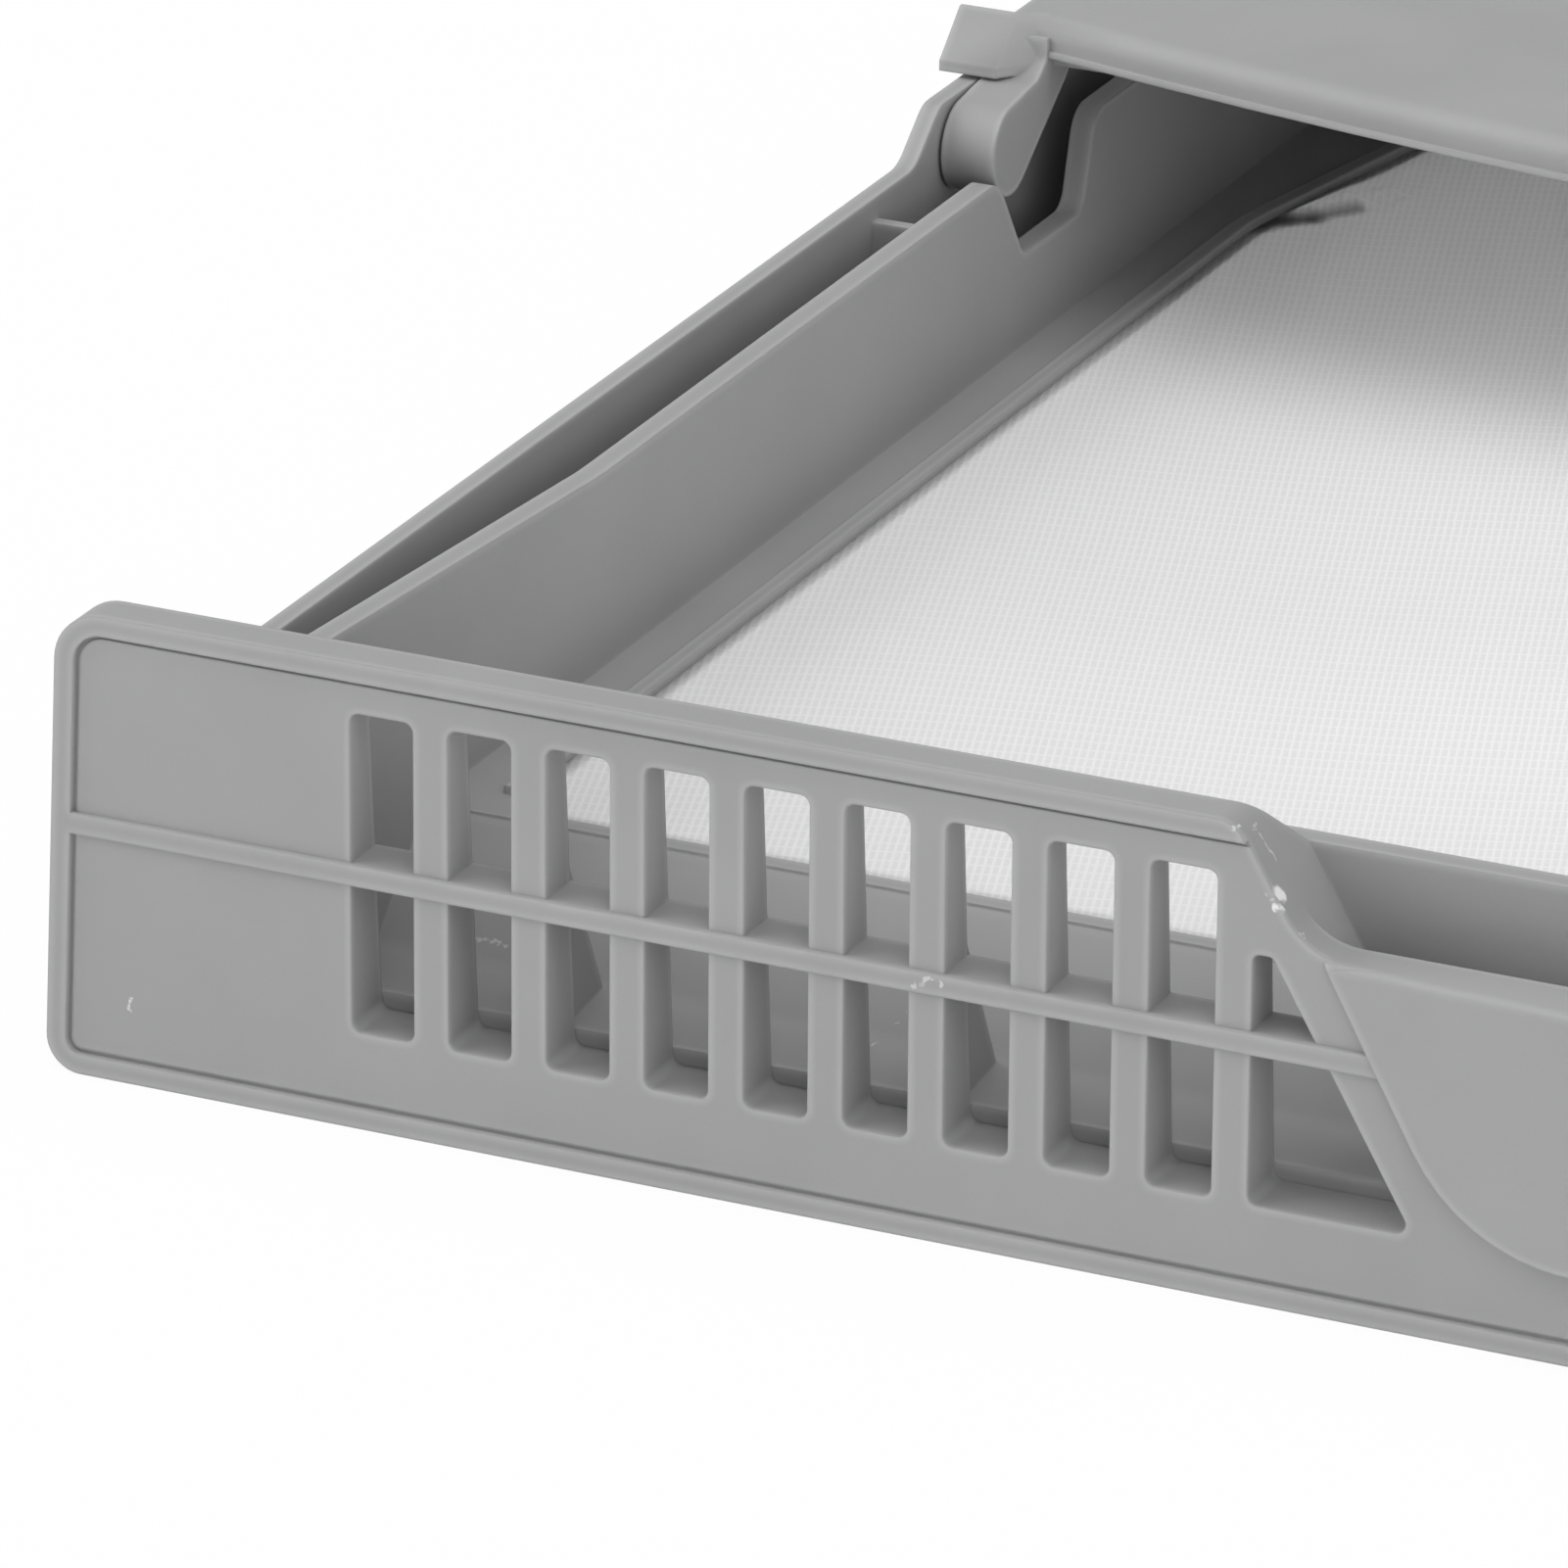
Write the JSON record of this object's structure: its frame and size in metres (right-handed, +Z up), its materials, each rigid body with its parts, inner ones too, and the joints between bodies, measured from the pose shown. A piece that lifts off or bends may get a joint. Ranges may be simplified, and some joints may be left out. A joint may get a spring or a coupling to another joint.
{
  "type": "tumble dryer lint filter",
  "caption": "Drawer-shaped lint filter with a slotted front panel, finger pocket, mesh floor and a hinged cover over the rear of its tray.",
  "frame": {"origin": "under the middle of the whole drawer, on the plane that it stands on", "axes": "+X along the front panel to the right, +Y from the panel towards the rear, +Z up"},
  "size_m": [0.3518, 0.2672, 0.0551],
  "materials": {
    "grey_plastic": "fine moulded texture, satin",
    "mesh": "translucent white woven monofilament"
  },
  "bodies": {
    "frame": {"filter_frame": "grey_plastic", "floor_mesh": "mesh"},
    "cover": {"rear_cover": "grey_plastic"}
  },
  "joints": [
    {"name": "cover_hinge", "type": "hinge", "parent": "frame", "child": "cover", "pos_m": [0, 0.03205, 0.0438], "axis": [1, 0, 0], "range_deg": [0, 90]}
  ]
}
